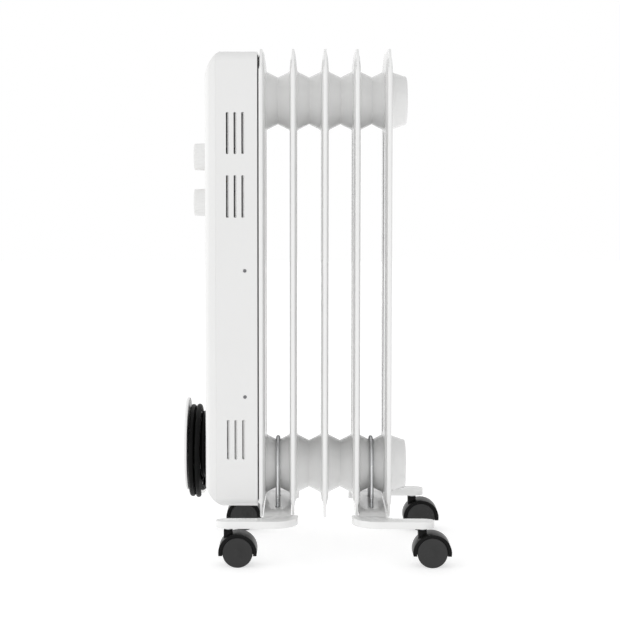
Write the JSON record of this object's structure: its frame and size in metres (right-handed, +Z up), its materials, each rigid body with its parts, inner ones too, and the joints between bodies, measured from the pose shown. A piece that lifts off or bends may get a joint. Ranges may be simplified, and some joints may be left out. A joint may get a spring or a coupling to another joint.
{
  "type": "oil filled radiator heater",
  "caption": "Free-standing oil filled radiator with slim upright fins, an end control housing with knobs, a wound mains lead and twin-wheel castors on foot brackets.",
  "frame": {"origin": "on the floor under the middle of the heater, measured without its lead", "axes": "+X along the row of fins away from the control housing, +Y across the fins, +Z up"},
  "size_m": [0.3343, 0.226, 0.64],
  "materials": {
    "white_enamel": "gloss white powder coat",
    "white_plastic": "satin white moulding",
    "black_plastic": "satin black moulding",
    "black_pvc": "satin black PVC",
    "chrome": "bright plate",
    "steel": "zinc plate",
    "rubber": "matt",
    "amber_lens": "clear amber"
  },
  "bodies": {
    "heater": {"fin_1": "white_enamel", "fin_2": "white_enamel", "fin_3": "white_enamel", "fin_4": "white_enamel", "fin_5": "white_enamel", "end_cap_lower": "white_enamel", "end_cap_upper": "white_enamel", "housing_shell": "white_enamel", "housing_back_plate": "white_enamel", "foot_bracket_front": "white_enamel", "foot_bracket_rear": "white_enamel", "front_panel": "white_plastic", "cord_wrap": "white_plastic", "terminal_block": "white_plastic", "thermostat_body": "black_plastic", "selector_switch": "black_plastic", "tip_over_switch": "black_plastic", "lead_coil": "black_pvc", "lead_from_gland": "black_pvc", "lead_to_plug": "black_pvc", "power_plug": "black_pvc", "cord_gland": "black_pvc", "u_bolt_front": "chrome", "u_bolt_rear": "chrome", "heating_element": "steel", "element_flange": "steel", "oil_filler_plug": "steel", "control_plate": "steel", "thermal_cutout": "steel", "side_screw_1": "steel", "side_screw_2": "steel", "side_screw_3": "steel", "side_screw_4": "steel", "wing_nut_front_left": "steel", "wing_nut_front_right": "steel", "wing_nut_rear_left": "steel", "wing_nut_rear_right": "steel", "element_gasket": "rubber", "indicator_lamp": "amber_lens"},
    "castor_front_left": {"castor_front_left_hood": "black_plastic", "castor_front_left_axle": "steel"},
    "castor_front_left_wheel_a": {"castor_front_left_wheel_a": "black_plastic"},
    "castor_front_left_wheel_b": {"castor_front_left_wheel_b": "black_plastic"},
    "castor_front_right": {"castor_front_right_hood": "black_plastic", "castor_front_right_axle": "steel"},
    "castor_front_right_wheel_a": {"castor_front_right_wheel_a": "black_plastic"},
    "castor_front_right_wheel_b": {"castor_front_right_wheel_b": "black_plastic"},
    "castor_rear_left": {"castor_rear_left_hood": "black_plastic", "castor_rear_left_axle": "steel"},
    "castor_rear_left_wheel_a": {"castor_rear_left_wheel_a": "black_plastic"},
    "castor_rear_left_wheel_b": {"castor_rear_left_wheel_b": "black_plastic"},
    "castor_rear_right": {"castor_rear_right_hood": "black_plastic", "castor_rear_right_axle": "steel"},
    "castor_rear_right_wheel_a": {"castor_rear_right_wheel_a": "black_plastic"},
    "castor_rear_right_wheel_b": {"castor_rear_right_wheel_b": "black_plastic"},
    "thermostat_control": {"thermostat_knob": "white_plastic", "thermostat_shaft": "steel"},
    "selector_control": {"selector_knob": "white_plastic", "selector_shaft": "steel"},
    "tip_over_pendulum": {"tip_over_pendulum": "steel"}
  },
  "joints": [
    {"name": "castor_front_left_swivel", "type": "hinge", "parent": "heater", "child": "castor_front_left", "pos_m": [-0.10885, -0.098, 0.0477], "axis": [0, 0, 1], "continuous": true},
    {"name": "castor_front_left_wheel_a_spin", "type": "hinge", "parent": "castor_front_left", "child": "castor_front_left_wheel_a", "pos_m": [-0.09685, -0.098, 0.0187], "axis": [0, 1, 0], "continuous": true},
    {"name": "castor_front_left_wheel_b_spin", "type": "hinge", "parent": "castor_front_left", "child": "castor_front_left_wheel_b", "pos_m": [-0.09685, -0.098, 0.0187], "axis": [0, 1, 0], "continuous": true},
    {"name": "castor_front_right_swivel", "type": "hinge", "parent": "heater", "child": "castor_front_right", "pos_m": [-0.10885, 0.098, 0.0477], "axis": [0, 0, 1], "continuous": true},
    {"name": "castor_front_right_wheel_a_spin", "type": "hinge", "parent": "castor_front_right", "child": "castor_front_right_wheel_a", "pos_m": [-0.09685, 0.098, 0.0187], "axis": [0, 1, 0], "continuous": true},
    {"name": "castor_front_right_wheel_b_spin", "type": "hinge", "parent": "castor_front_right", "child": "castor_front_right_wheel_b", "pos_m": [-0.09685, 0.098, 0.0187], "axis": [0, 1, 0], "continuous": true},
    {"name": "castor_rear_left_swivel", "type": "hinge", "parent": "heater", "child": "castor_rear_left", "pos_m": [0.13135, -0.098, 0.0477], "axis": [0, 0, 1], "continuous": true},
    {"name": "castor_rear_left_wheel_a_spin", "type": "hinge", "parent": "castor_rear_left", "child": "castor_rear_left_wheel_a", "pos_m": [0.14335, -0.098, 0.0187], "axis": [0, 1, 0], "continuous": true},
    {"name": "castor_rear_left_wheel_b_spin", "type": "hinge", "parent": "castor_rear_left", "child": "castor_rear_left_wheel_b", "pos_m": [0.14335, -0.098, 0.0187], "axis": [0, 1, 0], "continuous": true},
    {"name": "castor_rear_right_swivel", "type": "hinge", "parent": "heater", "child": "castor_rear_right", "pos_m": [0.13135, 0.098, 0.0477], "axis": [0, 0, 1], "continuous": true},
    {"name": "castor_rear_right_wheel_a_spin", "type": "hinge", "parent": "castor_rear_right", "child": "castor_rear_right_wheel_a", "pos_m": [0.14335, 0.098, 0.0187], "axis": [0, 1, 0], "continuous": true},
    {"name": "castor_rear_right_wheel_b_spin", "type": "hinge", "parent": "castor_rear_right", "child": "castor_rear_right_wheel_b", "pos_m": [0.14335, 0.098, 0.0187], "axis": [0, 1, 0], "continuous": true},
    {"name": "thermostat_turn", "type": "hinge", "parent": "heater", "child": "thermostat_control", "pos_m": [-0.13845, 0, 0.5059], "axis": [1, 0, 0], "range_deg": [-135, 135]},
    {"name": "selector_turn", "type": "hinge", "parent": "heater", "child": "selector_control", "pos_m": [-0.13845, 0, 0.4474], "axis": [1, 0, 0], "range_deg": [0, 270]},
    {"name": "pendulum_swing", "type": "hinge", "parent": "heater", "child": "tip_over_pendulum", "pos_m": [-0.10445, -0.03, 0.124], "axis": [1, 0, 0], "range_deg": [-18, 18]}
  ]
}
